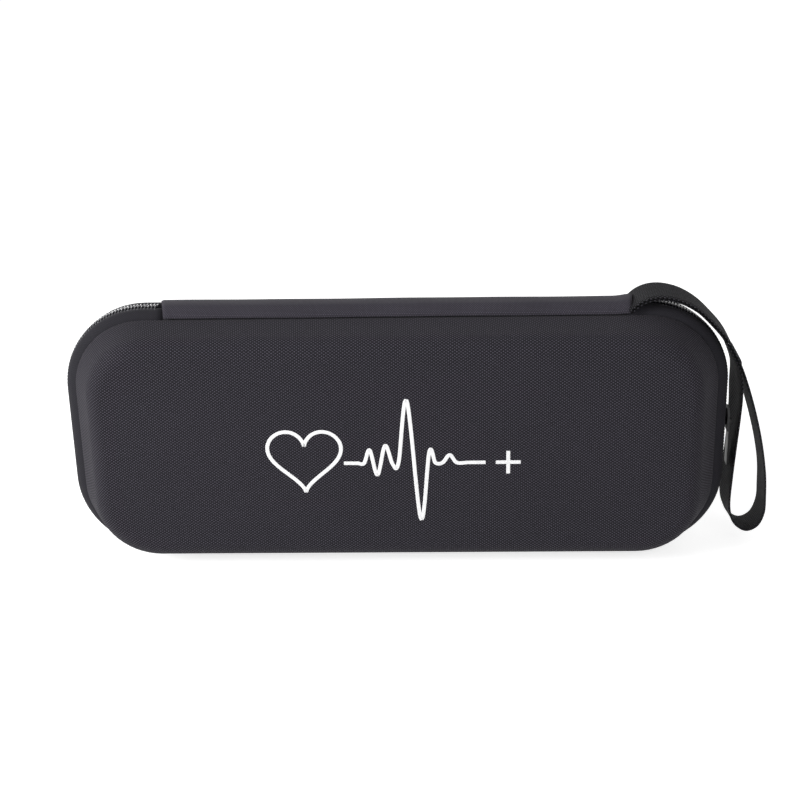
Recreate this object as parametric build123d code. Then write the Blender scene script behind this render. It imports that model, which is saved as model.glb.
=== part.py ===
from build123d import *
import math
import os

os.makedirs("parts", exist_ok=True)

# Zippered hard case for a stethoscope, standing on its long zip edge with the fabric hinge on top.
# Millimetres. +X runs along the length, -Y is the front face, +Z is up.
# The origin is the middle of the zip coil's underside, on the plane where the two halves meet.

# Outline of the zip line, which is the widest part of the case
case_length = 284.0
case_height = 114.0
case_depth = 55.0
corner_radius = 36.0

# Zip: coil on a woven tape, sewn round the rims
coil_height = 1.2
coil_half_width = 3.4
coil_mesh_reach = 0.6
coil_clearance = 0.3
coil_corner_lean = 8.5
tape_thickness = 1.0
tape_level_depth = 5.0
seam_depth = 8.5
seam_inset_long = 3.6
seam_inset_short = 5.2

# Moulded shells: each wall leans in from the seam to a broad face with a soft edge
wall_draft_long = 13.0
wall_draft_short = 27.0
seam_corner_radius = 31.0
face_corner_radius = 24.0
face_edge_radius = 13.0
fabric_thickness = 1.0
foam_thickness = 3.4
lining_thickness = 0.8
binding_thickness = 0.8
binding_width = 7.0
glue_line = 0.1
rim_gap = 0.3
seam_groove = 0.3

# Fabric hinge
hinge_setback = 41.0
hinge_thickness = 1.7
hinge_shoulder = 4.6
hinge_axis_rise = 0.3
hinge_lining_half_width = 6.0
hinge_lining_thickness = 0.8

# Wrist strap: one flat webbing folded into a loop
webbing_width = 20.0
webbing_thickness = 1.1
strap_stand_off = 2.0
strap_arc_angle = 61.0
strap_tab_length = 11.0
strap_tab_thickness = 1.0
strap_lift = 0.4
strap_foot_under = 8.0
strap_foot_over = 6.0
strap_arc_middle = 35.0
bar_tack_length = 6.0
bar_tack_setback = 2.0
bar_tack_thickness = 0.5

# Zip slider and pull
slider_height = 60.0
slider_length = 10.0
slider_half_width = 4.2
slider_plate = 1.0
slider_nose_width = 0.6
slider_nose_height = 0.5
slider_flange = 0.5
slider_clearance = 0.3
pull_length = 22.0
pull_width = 6.0
pull_eye_width = 4.4
pull_thickness = 0.8
pull_corner_radius = 1.45
post_radius = 1.2
post_fit = 0.05
post_head_radius = 1.9
post_head_thickness = 0.35
post_drop = 2.0

# Inside fittings
pocket_depth = 7.6
pocket_mouth_height = 38.0
mesh_thickness = 0.6
edge_elastic_width = 8.0
edge_elastic_thickness = 1.2
piping_width = 5.0
piping_thickness = 1.2
fit_gap = 0.3
band_spacing = 110.0
band_width = 25.0
band_thickness = 1.2
band_depth = 9.0
band_patch_length = 9.0
band_patch_thickness = 1.4
band_patch_margin = 1.0

overshoot = 1.0
hinge_end = case_length / 2 - hinge_setback
half_depth = case_depth / 2
mid_height = case_height / 2
corner_x = case_length / 2 - corner_radius
corner_z = case_height - corner_radius
tan_long = math.tan(math.radians(wall_draft_long))
tan_short = math.tan(math.radians(wall_draft_short))
cos_long = math.cos(math.radians(wall_draft_long))
cos_short = math.cos(math.radians(wall_draft_short))


def level(depth):
    """The plane at this depth in front of the middle plane, seen from the front."""
    return Plane(origin=(0, -depth, mid_height), x_dir=(1, 0, 0), z_dir=(0, -1, 0))


def zip_outline(depth, inset):
    """The zip line's rounded rectangle, drawn in by inset."""
    return level(depth) * RectangleRounded(
        case_length - 2 * inset, case_height - 2 * inset, corner_radius - inset)


def wall_outline(depth, offset):
    """The shell wall's rounded rectangle at this depth, offset square to the wall towards the inside."""
    run = depth - seam_depth
    inset_short = seam_inset_short + run * tan_short + offset / cos_short
    inset_long = seam_inset_long + run * tan_long + offset / cos_long
    share = run / (half_depth - seam_depth)
    radius = seam_corner_radius + share * (face_corner_radius - seam_corner_radius) - offset / cos_long
    return level(depth) * RectangleRounded(
        case_length - 2 * inset_short, case_height - 2 * inset_long, radius)


def seam_outline(sink):
    """The rounded rectangle along which the tape meets the shell, sunk into the shell by sink."""
    return level(seam_depth) * RectangleRounded(
        case_length - 2 * (seam_inset_short + sink), case_height - 2 * (seam_inset_long + sink),
        seam_corner_radius - sink)


def soften_face(solid, depth, offset):
    """Round the edge between the wall and the broad face."""
    face = solid.faces().sort_by(Axis.Y)[0]
    return fillet(face.edges(), face_edge_radius - offset)


def wall_block(start_depth, offset):
    """A solid with the wall's own shape from start_depth to the broad face, offset inwards all over."""
    end_depth = half_depth - offset
    block = loft([wall_outline(start_depth, offset), wall_outline(end_depth, offset)], ruled=True)
    return soften_face(block, end_depth, offset)


def zip_block(start_depth, sink):
    """A solid under the zip band: level near the coil, then falling to the seam, sunk by sink."""
    top = coil_height + sink
    flat = extrude(zip_outline(start_depth, top), tape_level_depth - start_depth)
    slope = loft([zip_outline(tape_level_depth, top), seam_outline(sink)], ruled=True)
    return flat + slope


def side_box(x0, x1, y0, y1, z0, z1):
    """A box between two corners."""
    return Pos((x0 + x1) / 2, (y0 + y1) / 2, (z0 + z1) / 2) * Box(x1 - x0, y1 - y0, z1 - z0)


def hinge_zone(half_length):
    """The space over the middle of the top edge, where the fabric hinge takes the zip's place."""
    return side_box(-half_length, half_length, -half_depth, half_depth,
                    case_height - 2 * seam_inset_long, case_height + overshoot)


def to_rear(shape):
    """The rear half's copy of a front piece."""
    return mirror(shape, about=Plane.XZ)


# ---- Layers of one half, from the outside in ----
fabric_inner = fabric_thickness + glue_line
foam_inner = fabric_inner + foam_thickness
lining_outer = foam_inner + glue_line
lining_inner = lining_outer + lining_thickness
binding_outer = lining_inner + glue_line
binding_inner = binding_outer + binding_thickness
tape_sink = tape_thickness + glue_line


def make_outer_fabric():
    start = seam_depth + seam_groove
    return wall_block(start, 0) - wall_block(start, fabric_thickness)


def make_shell_core():
    rim = extrude(zip_outline(rim_gap, coil_height + tape_sink), tape_level_depth - rim_gap)
    shoulder = loft([zip_outline(tape_level_depth, coil_height + tape_sink),
                     wall_outline(seam_depth, fabric_inner)], ruled=True)
    return rim + shoulder + wall_block(seam_depth, fabric_inner) - wall_block(0, foam_inner)


def make_lining():
    shell = wall_block(0, lining_outer) - wall_block(0, lining_inner)
    return shell - side_box(-case_length, case_length, -rim_gap, overshoot, -overshoot, case_height)


def make_rim_binding():
    outer = loft([wall_outline(rim_gap, binding_outer),
                  wall_outline(rim_gap + binding_width, binding_outer)], ruled=True)
    inner = loft([wall_outline(rim_gap, binding_inner),
                  wall_outline(rim_gap + binding_width, binding_inner)], ruled=True)
    return outer - inner


def make_zip_tape(inner_edge):
    return zip_block(inner_edge, 0) - zip_block(inner_edge, tape_thickness) - hinge_zone(hinge_end + fit_gap)


def under_corner(side):
    """The space below a line that rises outwards from one end of the coil's flat underside."""
    below = side_box(-corner_radius, corner_radius, -seam_depth, seam_depth, -corner_radius, 0)
    return Pos(side * corner_x, 0, 0) * Rotation(0, -side * coil_corner_lean, 0) * below


def make_zip_coil(start, end):
    """A coil half as a ring between two depths, open over the hinge."""
    ring = extrude(zip_outline(start, 0), end - start) - extrude(zip_outline(start, coil_height), end - start)
    return ring - hinge_zone(hinge_end + fit_gap) - under_corner(1) - under_corner(-1)


# ---- Fabric hinge over the top edge ----
def band_over_top(half_width, drop, top, thickness, half_length):
    """A strip along X whose section is level in the middle and falls to both long edges."""
    outer = [(-half_width, top - drop), (-hinge_shoulder, top), (hinge_shoulder, top), (half_width, top - drop)]
    inner = [(y, z - thickness) for y, z in reversed(outer)]
    section = Plane.YZ * make_face(Polyline(*outer, *inner, close=True))
    return Pos(-half_length, 0, 0) * extrude(section, 2 * half_length)


hinge_fall = seam_inset_long - coil_height
tab_top = case_height - coil_height - tape_thickness + strap_tab_thickness


def make_strap_anchor_tab():
    """The strap's flattened end, sewn under the end of the hinge strip on the rear half."""
    return side_box(hinge_end - strap_tab_length, hinge_end - fit_gap, rim_gap, hinge_shoulder,
                    tab_top - strap_tab_thickness, tab_top)


def make_hinge_strip():
    strip = band_over_top(seam_depth, hinge_fall, case_height, hinge_thickness, hinge_end)
    recess = side_box(hinge_end - strap_tab_length - fit_gap, hinge_end + overshoot, -fit_gap,
                      hinge_shoulder + fit_gap, 0, tab_top + glue_line)
    return strip - recess


def make_hinge_lining():
    """The inside strip that covers the gap between the rims, level with the rim bindings."""
    top = case_height - seam_inset_long + seam_depth * tan_long - binding_inner / cos_long - fit_gap
    half_length = case_length / 2 - corner_radius
    return side_box(-half_length, half_length, -hinge_lining_half_width, hinge_lining_half_width,
                    top - hinge_lining_thickness - hinge_lining_half_width * tan_long,
                    top - hinge_lining_half_width * tan_long)


# ---- Wrist strap ----
strap_inner_radius = corner_radius + strap_stand_off
strap_outer_radius = strap_inner_radius + 2 * webbing_thickness
strap_pivot = (hinge_end + fit_gap, case_height + strap_lift)


def strap_point(radius, angle):
    """A point on a circle round the top right corner's centre, by its angle from straight up."""
    turn = math.radians(angle)
    return (corner_x + radius * math.sin(turn), corner_z + radius * math.cos(turn))


def across(section):
    """A section drawn in X and Z, carried across the webbing's width."""
    return Pos(0, webbing_width / 2, 0) * extrude(Plane.XZ * section, webbing_width)


def make_strap_neck():
    """Both plies together: up from the hinge strip's end and round the case's corner."""
    foot_x, foot_z = strap_pivot
    rise = 2 * webbing_thickness
    under_start = strap_point(strap_inner_radius, strap_foot_under)
    under_middle = strap_point(strap_inner_radius, strap_arc_middle)
    under_end = strap_point(strap_inner_radius, strap_arc_angle)
    over_start = strap_point(strap_outer_radius, strap_foot_over)
    over_middle = strap_point(strap_outer_radius, strap_arc_middle)
    over_end = strap_point(strap_outer_radius, strap_arc_angle)
    outline = [
        Line((foot_x, foot_z), under_start),
        ThreePointArc(under_start, under_middle, under_end),
        Line(under_end, over_end),
        ThreePointArc(over_end, over_middle, over_start),
        Line(over_start, (foot_x, foot_z + rise)),
        Line((foot_x, foot_z + rise), (foot_x, foot_z)),
    ]
    return across(make_face(outline))


# The open loop's outline below the neck, down the outer ply and up the inner one: how far each point
# stands off the case's end as a share of the webbing's width, and its share of the case's height
loop_outer_side = [(0.2, 0.754), (0.47, 0.614), (0.7, 0.474), (0.845, 0.325), (0.865, 0.211)]
loop_bottom = [(0.765, 0.123), (0.49, 0.075), (0.245, 0.107)]
loop_inner_side = [(0.145, 0.193), (0.145, 0.351), (0.155, 0.526), (0.145, 0.667), (0.03, 0.772)]


def drawn_in(before, point, after, amount):
    """The point moved square to its neighbours' line, to the right of the way from before to after."""
    run_x, run_z = after[0] - before[0], after[1] - before[1]
    length = math.hypot(run_x, run_z)
    return (point[0] + amount * run_z / length, point[1] - amount * run_x / length)


def make_strap_loop():
    """The loop's outline, less a hollow drawn in by one ply all round."""
    neck_under = strap_point(strap_inner_radius, strap_arc_angle)
    neck_over = strap_point(strap_outer_radius, strap_arc_angle)
    turn = math.radians(strap_arc_angle)
    heading = (math.cos(turn), -math.sin(turn))
    away = (-math.cos(turn), math.sin(turn))
    hanging = [(case_length / 2 + webbing_width * gap, case_height * share)
               for gap, share in loop_outer_side + loop_bottom + loop_inner_side]
    route = [neck_over, *hanging, neck_under]
    outline = make_face([Spline(*route, tangents=(heading, away)), Line(neck_under, neck_over)])
    inner = [drawn_in(a, b, c, webbing_thickness) for a, b, c in zip(route, route[1:], route[2:])]
    hollow = make_face([Spline(*inner), Line(inner[-1], inner[0])])
    return across(outline - hollow)


def make_bar_tack():
    """A block of stitches across the neck, just above where the two plies part."""
    inner = strap_outer_radius + glue_line
    outer = inner + bar_tack_thickness
    spread = math.degrees(bar_tack_length / strap_outer_radius)
    low = strap_arc_angle - bar_tack_setback
    high = low - spread
    middle = (low + high) / 2
    outline = [
        ThreePointArc(strap_point(inner, high), strap_point(inner, middle), strap_point(inner, low)),
        Line(strap_point(inner, low), strap_point(outer, low)),
        ThreePointArc(strap_point(outer, low), strap_point(outer, middle), strap_point(outer, high)),
        Line(strap_point(outer, high), strap_point(inner, high)),
    ]
    return across(make_face(outline))


# ---- Zip slider and its pull, on the right side ----
plate_x = case_length / 2 + slider_clearance
post_z = slider_height - post_drop
pull_x = plate_x + slider_plate + post_fit
head_x = pull_x + pull_thickness + post_fit


def make_slider():
    """A plate over both coil halves with a flange down the rear half's side and a headed post for the pull."""
    shoulder = slider_length / 2
    cheek = shoulder * slider_nose_height
    nose = slider_half_width * slider_nose_width
    plate = Plane.YZ * make_face(Polyline(
        (-slider_half_width, slider_height + cheek), (-nose, slider_height + shoulder),
        (nose, slider_height + shoulder), (slider_half_width, slider_height + cheek),
        (slider_half_width, slider_height - shoulder), (-slider_half_width, slider_height - shoulder), close=True))
    plate = Pos(plate_x, 0, 0) * extrude(plate, slider_plate)
    flange = side_box(plate_x - coil_height + slider_clearance, plate_x,
                      slider_half_width - slider_flange, slider_half_width,
                      slider_height - shoulder, slider_height + cheek)
    axis = Rotation(0, 90, 0)
    post_length = head_x - plate_x
    post = Pos(plate_x + post_length / 2, 0, post_z) * axis * Cylinder(post_radius, post_length)
    head = Pos(head_x + post_head_thickness / 2, 0, post_z) * axis * Cylinder(post_head_radius, post_head_thickness)
    return plate + flange + post + head


def make_pull_tab():
    """A flat tab hanging from the post, wider towards its free end."""
    top = post_z + pull_eye_width / 2
    outline = Plane.YZ * make_face(Polyline(
        (-pull_eye_width / 2, top), (pull_eye_width / 2, top),
        (pull_width / 2, top - pull_length), (-pull_width / 2, top - pull_length), close=True))
    tab = extrude(outline, pull_thickness)
    tab = fillet(tab.edges().filter_by(Axis.X), pull_corner_radius)
    eye = Pos(pull_thickness / 2, 0, post_z) * Rotation(0, 90, 0) * Cylinder(post_radius + post_fit, 2 * pull_thickness)
    return Pos(pull_x, 0, 0) * (tab - eye)


# ---- Inside fittings ----
def cavity_outline(depth, gap):
    """The clear outline inside the lining at this depth, drawn in by gap."""
    return wall_outline(depth, lining_inner + gap)


def below_mouth():
    return side_box(-case_length, case_length, -half_depth, half_depth, -overshoot, pocket_mouth_height)


def make_mesh_panel():
    back = pocket_depth + mesh_thickness
    return extrude(cavity_outline(back, fit_gap), -mesh_thickness) - below_mouth()


def make_pocket_piping():
    """The sewn edging in front of the mesh, along every side but the mouth."""
    back = pocket_depth - glue_line
    clear = fit_gap + binding_thickness + glue_line
    ring = (extrude(cavity_outline(back, clear), -piping_thickness)
            - extrude(cavity_outline(back, clear + piping_width), -piping_thickness))
    return ring - below_mouth()


def make_edge_elastic():
    """The elastic that holds the pocket's mouth, sewn behind the mesh."""
    back = pocket_depth + mesh_thickness + glue_line + edge_elastic_thickness
    band = extrude(cavity_outline(back, fit_gap), -edge_elastic_thickness)
    keep = side_box(-case_length, case_length, -half_depth, 0, pocket_mouth_height,
                    pocket_mouth_height + edge_elastic_width)
    return band & keep


def band_reach(depth):
    """How far above the case's underside the lining lies at this depth."""
    return seam_inset_long + (depth - seam_depth) * tan_long + lining_inner / cos_long


def make_holding_band(centre):
    ends = band_reach(band_depth + band_thickness) + fit_gap
    return side_box(centre - band_width / 2, centre + band_width / 2, band_depth, band_depth + band_thickness,
                    ends, case_height - ends)


def make_band_patches():
    """Sewn patches over the four band ends."""
    front = band_depth - glue_line - band_patch_thickness
    ends = band_reach(band_depth) + fit_gap
    patches = []
    for centre in (-band_spacing / 2, band_spacing / 2):
        for low in (ends, case_height - ends - band_patch_length):
            patches.append(side_box(centre - band_width / 2 - band_patch_margin,
                                    centre + band_width / 2 + band_patch_margin, front,
                                    front + band_patch_thickness, low, low + band_patch_length))
    return Compound(children=patches)


front_fabric = make_outer_fabric()
front_core = make_shell_core()
front_lining = make_lining()
front_binding = make_rim_binding()

nodes = {
    "front_outer_fabric": front_fabric,
    "front_shell_core": front_core,
    "front_lining": front_lining,
    "front_rim_binding": front_binding,
    "front_zip_tape": make_zip_tape(coil_mesh_reach + coil_clearance),
    "front_zip_coil": make_zip_coil(coil_mesh_reach + coil_clearance, coil_half_width),
    "rear_outer_fabric": to_rear(front_fabric),
    "rear_shell_core": to_rear(front_core),
    "rear_lining": to_rear(front_lining),
    "rear_rim_binding": to_rear(front_binding),
    "rear_zip_tape": to_rear(make_zip_tape(rim_gap)),
    "rear_zip_coil": to_rear(make_zip_coil(-coil_mesh_reach, coil_half_width)),
    "hinge_strip": make_hinge_strip(),
    "hinge_lining_strip": make_hinge_lining(),
    "strap_anchor_tab": make_strap_anchor_tab(),
    "wrist_strap_neck": make_strap_neck(),
    "wrist_strap_loop": make_strap_loop(),
    "strap_bar_tack": make_bar_tack(),
    "zip_slider_body": make_slider(),
    "zip_pull_tab": make_pull_tab(),
    "mesh_pocket_panel": make_mesh_panel(),
    "pocket_piping": make_pocket_piping(),
    "pocket_edge_elastic": make_edge_elastic(),
    "holding_band_left": make_holding_band(-band_spacing / 2),
    "holding_band_right": make_holding_band(band_spacing / 2),
    "band_end_patches": make_band_patches(),
}

for name, shape in nodes.items():
    export_step(shape, f"parts/{name}.step")
    print(name, len(shape.solids()), round(shape.volume, 1))
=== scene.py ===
import math
import bpy
import bmesh
import numpy as np
from mathutils import Matrix, Vector


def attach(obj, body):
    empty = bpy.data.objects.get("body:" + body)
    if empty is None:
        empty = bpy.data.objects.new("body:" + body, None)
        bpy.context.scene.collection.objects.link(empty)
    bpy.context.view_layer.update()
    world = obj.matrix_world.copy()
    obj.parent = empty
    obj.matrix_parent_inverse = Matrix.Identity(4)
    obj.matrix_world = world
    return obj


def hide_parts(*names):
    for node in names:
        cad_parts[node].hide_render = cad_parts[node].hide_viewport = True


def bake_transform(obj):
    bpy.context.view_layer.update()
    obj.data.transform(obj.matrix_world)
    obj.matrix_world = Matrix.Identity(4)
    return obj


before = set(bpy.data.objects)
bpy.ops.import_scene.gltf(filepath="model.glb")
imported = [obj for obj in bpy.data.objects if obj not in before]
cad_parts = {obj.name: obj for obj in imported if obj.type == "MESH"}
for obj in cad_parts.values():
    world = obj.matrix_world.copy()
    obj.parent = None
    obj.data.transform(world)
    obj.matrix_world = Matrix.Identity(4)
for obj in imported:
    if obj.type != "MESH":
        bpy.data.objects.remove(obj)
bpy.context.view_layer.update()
mm = 0.001

# The case in millimetres: x along its length, y towards the back, z up from the table
case = {
    "length": 284.0,         # over the zip coil
    "height": 114.0,
    "depth": 55.0,
    "cornerRadius": 36.0,    # of the zip line
    "seamDepth": 8.5,        # from the middle plane to where the tape is sewn to the shell
    "seamInsetLong": 3.6,    # how far the seam lies inside the zip line, top and bottom
    "seamInsetShort": 5.2,   # the same at both ends
    "longDraft": 13.0,       # lean of the top and bottom walls, degrees
    "shortDraft": 27.0,      # lean of the end walls
    "edgeRadius": 8.0,       # between wall and broad face
    "seamCornerRadius": 31.0,
    "faceCornerRadius": 24.0,
    "edgeShare": 0.88,       # how much the corner radius shrinks per millimetre of the edge's inset
    "fabric": 0.9,           # thickness of the outer fabric
    "foamInner": 4.5,        # from the outer surface to the lining
    "liningThickness": 0.8,
    "zipStart": 97.4,        # how far from the middle the zip comes out from under the fabric hinge
}
midZ = case["height"] / 2
halves = {"front": 1, "rear": -1}    # 1 for the half whose face looks to the front


# Puts points (n, 3) in millimetres and faces into a new object that rides on a body.
def makeMesh(name, points, faces, body, smooth=True, uv=None):
    mesh = bpy.data.meshes.new(name)
    corners = [list(map(int, face)) for face in faces]
    mesh.from_pydata((np.asarray(points, float) * mm).tolist(), [], corners)
    if uv is not None:
        layer = mesh.uv_layers.new(name="cloth")
        loops = np.zeros(len(mesh.loops), np.int32)
        mesh.loops.foreach_get("vertex_index", loops)
        layer.data.foreach_set("uv", np.asarray(uv, np.float32)[loops].ravel())
    mesh.polygons.foreach_set("use_smooth", [smooth] * len(mesh.polygons))
    mesh.validate()
    mesh.update()
    obj = bpy.data.objects.new(name, mesh)
    bpy.context.scene.collection.objects.link(obj)
    if body:
        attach(obj, body)
    return obj


# Quads between neighbouring points of a rows by columns grid, wrapping round where it is closed.
def gridFaces(rows, columns, closeRows=False, closeColumns=False):
    r = np.arange(rows if closeRows else rows - 1)
    c = np.arange(columns if closeColumns else columns - 1)
    rr, cc = np.meshgrid(r, c, indexing="ij")
    nextR, nextC = (rr + 1) % rows, (cc + 1) % columns
    corners = [rr * columns + cc, nextR * columns + cc, nextR * columns + nextC,
               rr * columns + nextC]
    return np.stack(corners, axis=-1).reshape(-1, 4)


# The distance travelled along a line of points, from 0 at its first.
def distanceAlong(points):
    steps = np.linalg.norm(np.diff(np.asarray(points, float), axis=0), axis=1)
    return np.concatenate([[0], np.cumsum(steps)])


# Faces of a closed tube of n sections with m points each, its ends capped unless it runs round.
def tubeFaces(n, m, closed=False):
    faces = gridFaces(n, m, closeRows=closed, closeColumns=True).tolist()
    if not closed:
        faces += [list(range(m)), [(n - 1) * m + i for i in reversed(range(m))]]
    return faces


# Faces of a sheet with n by m points on top and as many below, joined by a wall round the rim.
def sheetFaces(n, m):
    top = gridFaces(n, m)
    rim = np.concatenate([np.arange(m - 1), np.arange(n - 1) * m + m - 1,
                          (n - 1) * m + np.arange(m - 1, 0, -1), np.arange(n - 1, 0, -1) * m])
    ahead = np.roll(rim, -1)
    side = np.stack([rim, ahead, ahead + n * m, rim + n * m], axis=1)
    return top.tolist() + (top[:, ::-1] + n * m).tolist() + side.tolist()


# Several shapes, each with points and faces, as one.
def joined(shapes):
    starts = np.cumsum([0] + [len(points) for points, _ in shapes])
    faces = [[v + int(start) for v in face] for (_, some), start in zip(shapes, starts)
             for face in some]
    return np.concatenate([points for points, _ in shapes]), faces


# A cloth map from the distance along a piece and the distance across it.
def clothGrid(along, across):
    return np.stack(np.meshgrid(along, across, indexing="ij"), axis=-1).reshape(-1, 2) * mm


# The faces of one shape repeated for count copies, each with size points.
def repeatedFaces(one, size, count):
    return [[v + size * k for v in face] for k in range(count) for face in one]


# Two coordinates over a grid, each from its first value, its last and how many.
def gridOver(first, second):
    return np.meshgrid(np.linspace(*first), np.linspace(*second), indexing="ij")


# Merges doubles, drops flat faces and turns the faces outwards.
def cleanUp(obj, distance):
    bm = bmesh.new()
    bm.from_mesh(obj.data)
    bmesh.ops.remove_doubles(bm, verts=bm.verts, dist=distance)
    bmesh.ops.dissolve_degenerate(bm, edges=bm.edges, dist=distance)
    bmesh.ops.recalc_face_normals(bm, faces=bm.faces)
    bm.to_mesh(obj.data)
    bm.free()
    obj.data.update()
    return obj


# Gives a piece its one material.
def setMaterial(obj, material):
    obj.data.materials.clear()
    obj.data.materials.append(material)


# A finished piece: its mesh, cleaned, with its material, standing for the nodes named last.
def makePiece(name, points, faces, body, slotName, material, *nodes, uv=None, smooth=True,
              merge=1e-6):
    obj = cleanUp(makeMesh(name, points, faces, body, smooth, uv), merge)
    setMaterial(obj, material)
    if nodes:
        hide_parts(*nodes)
    return obj


# A rounded rectangle as matched stations, anticlockwise from the bottom of the right side. Each
# station has the share of the way to a corner centre in x and z, and the angle it faces.
def loopStations(perCorner=14, perLong=60, perShort=14):
    corner = np.linspace(0, math.pi / 2, perCorner, endpoint=False)
    longRun = np.linspace(1, -1, perLong, endpoint=False)
    shortRun = np.linspace(-1, 1, perShort, endpoint=False)
    end, bend, side = np.ones(perShort), np.ones(perCorner), np.ones(perLong)
    quarter = math.pi / 2
    cx = np.concatenate([end, bend, longRun, -bend, -end, -bend, -longRun, bend])
    cz = np.concatenate([shortRun, bend, side, bend, -shortRun, -bend, -side, -bend])
    turn = np.concatenate([0 * end, corner, side * quarter, corner + quarter,
                           end * 2 * quarter, corner + 2 * quarter, side * 3 * quarter,
                           corner + 3 * quarter])
    return cx, cz, turn


# Corner centre times its share, plus the radius in the direction faced.
def ringPoints(stations, insetX, insetZ, radius):
    cx, cz, turn = stations
    halfX = case["length"] / 2 - insetX
    halfZ = case["height"] / 2 - insetZ
    x = cx * (halfX - radius) + radius * np.cos(turn)
    z = cz * (halfZ - radius) + radius * np.sin(turn) + midZ
    return x, z


# How much the corner radius shrinks for each millimetre of depth, from the seam to the broad face.
def cornerTaper():
    wallDepth = case["depth"] / 2 - case["seamDepth"]
    return (case["seamCornerRadius"] - case["faceCornerRadius"]) / wallDepth


# Insets and corner radius of the wall's rounded rectangle at a depth, offset square to the wall.
def wallInsets(depth, offset):
    run = depth - case["seamDepth"]
    short, long = math.radians(case["shortDraft"]), math.radians(case["longDraft"])
    return (case["seamInsetShort"] + run * math.tan(short) + offset / math.cos(short),
            case["seamInsetLong"] + run * math.tan(long) + offset / math.cos(long),
            case["seamCornerRadius"] - cornerTaper() * run - offset / math.cos(long))


# Depth, insets, corner radius and length along the section, from the seam to the middle of the
# face. The wall is straight, a circular edge turns it into the face, and the face shrinks to a
# line.
def wallProfile(offset, startDepth=None, wallSteps=7, arcSteps=12, faceSteps=9):
    seam = case["seamDepth"]
    start = seam if startDepth is None else startDepth
    faceAt = case["depth"] / 2 - offset
    edge = case["edgeRadius"] - offset
    share = np.linspace(0, 1, faceSteps + 1)[1:]
    sections = []
    for way in ("Short", "Long"):
        draft = math.radians(case[way.lower() + "Draft"])
        side = case["seamInset" + way] + offset / math.cos(draft)
        sharp = side + (faceAt - seam) * math.tan(draft)
        back = edge * math.tan((math.pi / 2 - draft) / 2)
        wallStart = [start, side + (start - seam) * math.tan(draft)]
        wallEnd = [faceAt - back * math.cos(draft), sharp - back * math.sin(draft)]
        wall = np.linspace(wallStart, wallEnd, wallSteps, endpoint=False)
        angle = np.linspace(draft, math.pi / 2, arcSteps)
        arc = np.stack([faceAt - edge * (1 - np.sin(angle)), sharp + back - edge * np.cos(angle)],
                       axis=1)
        faceStart, faceEnd = arc[-1, 1], case["height"] / 2
        flat = np.stack([0 * share + faceAt, faceStart + share * (faceEnd - faceStart)], axis=1)
        sections.append(np.concatenate([wall, arc, flat]))
    short, long = sections
    edgeEnd = wallSteps + arcSteps - 1
    knots = long[[0, wallSteps, edgeEnd, -1], 1]
    startRadius = wallInsets(start, offset)[2]
    wallRadius = startRadius - cornerTaper() * (long[wallSteps, 0] - long[0, 0])
    edgeRadius = wallRadius - case["edgeShare"] * (knots[2] - knots[1])
    radius = np.interp(long[:, 1], knots, [startRadius, wallRadius, edgeRadius, 0.0])
    return {"depthX": short[:, 0], "depthZ": long[:, 0], "insetX": short[:, 1],
            "insetZ": long[:, 1], "radius": radius, "travel": distanceAlong(long),
            "edge": edgeEnd}


# Rings of the wall profile, one inside the next, with a crown that grows towards the face's middle.
# The cloth map is the face laid flat, with the walls folded out along the way each station faces.
def shellSurface(offset, crown, stations, startDepth):
    profile = wallProfile(offset, startDepth)
    turn = stations[2]
    rows, maps = [], []
    edge, last = profile["edge"], len(profile["radius"]) - 1
    rings = [ringPoints(stations, *(profile[k][i] for k in ("insetX", "insetZ", "radius")))
             for i in range(last + 1)]
    endwards = np.cos(turn) ** 2
    for i, (x, z) in enumerate(rings):
        depth = profile["depthX"][i] * endwards + profile["depthZ"][i] * (1 - endwards)
        bulge = crown * math.sin(max(0.0, (i - edge) / (last - edge)) * math.pi / 2)
        rows.append(np.stack([x, -depth - bulge, z], axis=1))
        out = max(0.0, profile["travel"][edge] - profile["travel"][i])
        flatX, flatZ = rings[max(i, edge)]
        maps.append(np.stack([flatX + out * np.cos(turn), flatZ + out * np.sin(turn)], axis=1))
    return np.concatenate(rows), np.concatenate(maps) * mm


# The wall's rounded rectangle at a depth as points, with y to the front for side 1.
def wallRing(depth, offset, stations, side):
    x, z = ringPoints(stations, *wallInsets(depth, offset))
    return np.stack([x, np.full_like(x, -side * depth), z], axis=1)


# Points every step millimetres along the zip, from the right end of the fabric hinge round to its
# left end. Each has a corner centre, the way it faces and its distance along the zip.
def zipPath(step):
    x = case["length"] / 2 - case["cornerRadius"]
    z = case["height"] / 2 - case["cornerRadius"]
    begin, half = case["zipStart"], math.pi / 2
    arc = case["cornerRadius"] * half
    knots = np.cumsum([0, x - begin, arc, 2 * z, arc, 2 * x, arc, 2 * z, arc, x - begin])
    total = knots[-1]
    s = np.linspace(0, total, int(round(total / step)) + 1)
    cx = np.interp(s, knots, [begin, x, x, x, x, -x, -x, -x, -x, -begin])
    cz = np.interp(s, knots, [z, z, z, -z, -z, -z, -z, z, z, z])
    turn = np.interp(s, knots, [half, half, 0, 0, -half, -half, -2 * half, -2 * half, -3 * half,
                                -3 * half])
    return {"cx": cx, "cz": cz, "turn": turn, "s": s, "total": total}


# The point at this depth and inset: its corner centre plus what is left of the radius. Spread is
# how much more inset the ends have than the long runs, by the square of the cosine faced.
def alongZip(path, depth, inset, spread):
    reach = case["cornerRadius"] - inset - spread * np.cos(path["turn"]) ** 2
    x = path["cx"] + reach * np.cos(path["turn"])
    z = path["cz"] + reach * np.sin(path["turn"]) + midZ
    return np.stack([x, np.full_like(x, -depth), z], axis=-1)


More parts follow.
